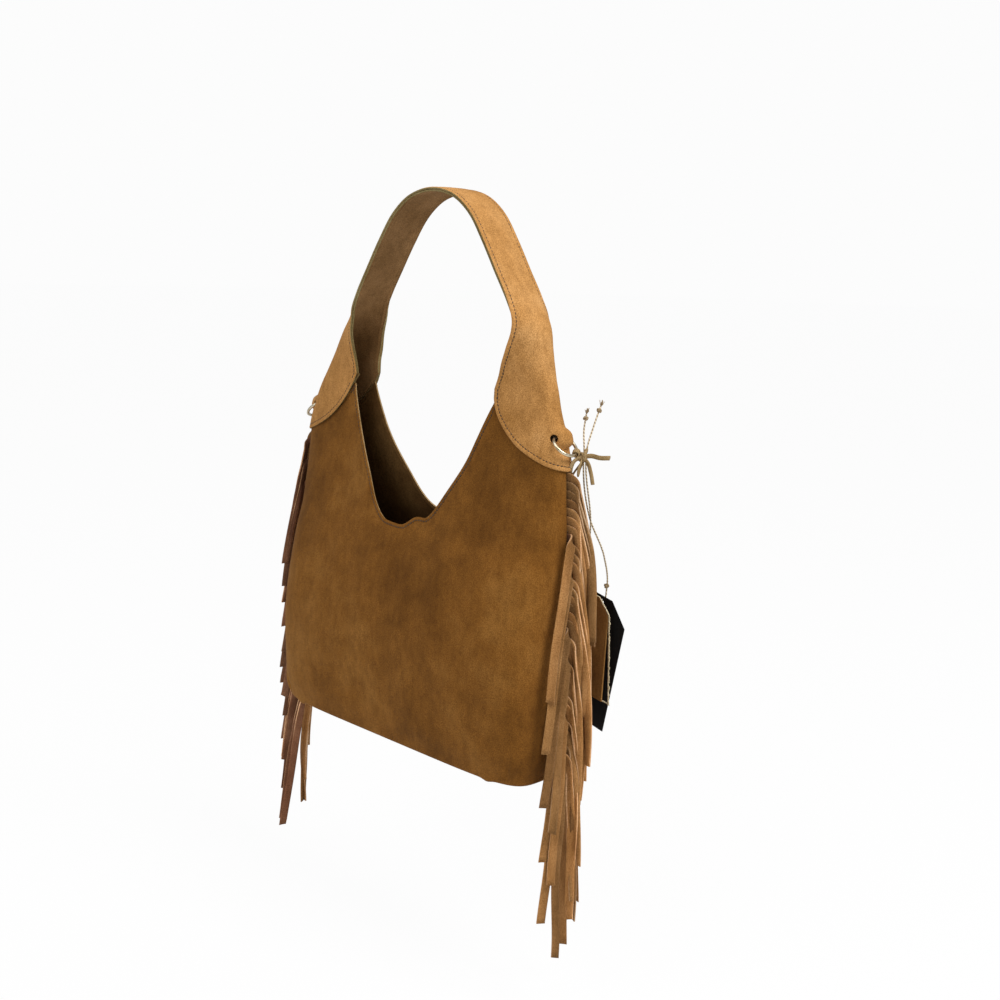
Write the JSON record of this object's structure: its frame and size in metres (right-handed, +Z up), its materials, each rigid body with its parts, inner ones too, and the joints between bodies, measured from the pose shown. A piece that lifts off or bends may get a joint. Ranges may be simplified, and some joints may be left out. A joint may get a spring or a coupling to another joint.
{
  "type": "fringed suede shoulder bag",
  "caption": "Caramel suede slouch shoulder bag with long side fringe, folded strap tabs, tie rings, a knotted lace and blank hang tags.",
  "frame": {"origin": "centre of the strap's underside at its highest point, where the bag hangs", "axes": "+X across the bag to the side with the hang tags, -Y out of the front panel, +Z up"},
  "size_m": [0.4346, 0.1321, 0.6789],
  "materials": {
    "panel_suede": "matt brushed nap",
    "strap_suede": "matt brushed nap",
    "lining_suede": "matt brushed nap",
    "fringe_suede": "matt brushed nap",
    "ring_metal": "pale, slightly worn",
    "lace_leather": "smooth on one side",
    "twine": "twisted plant fibre",
    "tag_suede": "matt brushed nap",
    "card_black": "matt card"
  },
  "bodies": {
    "bag": {"front_panel": "panel_suede", "back_panel": "panel_suede", "strap_outer": "strap_suede", "strap_lining": "lining_suede", "fringe_right": "fringe_suede", "fringe_left": "fringe_suede"},
    "right_ring": {"ring_right": "ring_metal", "ring_lace": "lace_leather", "tag_string": "twine", "suede_tag": "tag_suede", "card_tag": "card_black"},
    "left_ring": {"ring_left": "ring_metal"}
  },
  "joints": [
    {"name": "right_ring_swing", "type": "hinge", "parent": "bag", "child": "right_ring", "pos_m": [0.14741, 0, -0.213], "axis": [0, -1, 0], "range_deg": [0, 90]},
    {"name": "left_ring_swing", "type": "hinge", "parent": "bag", "child": "left_ring", "pos_m": [-0.191, 0, -0.213], "axis": [0, 1, 0], "range_deg": [0, 90]}
  ]
}
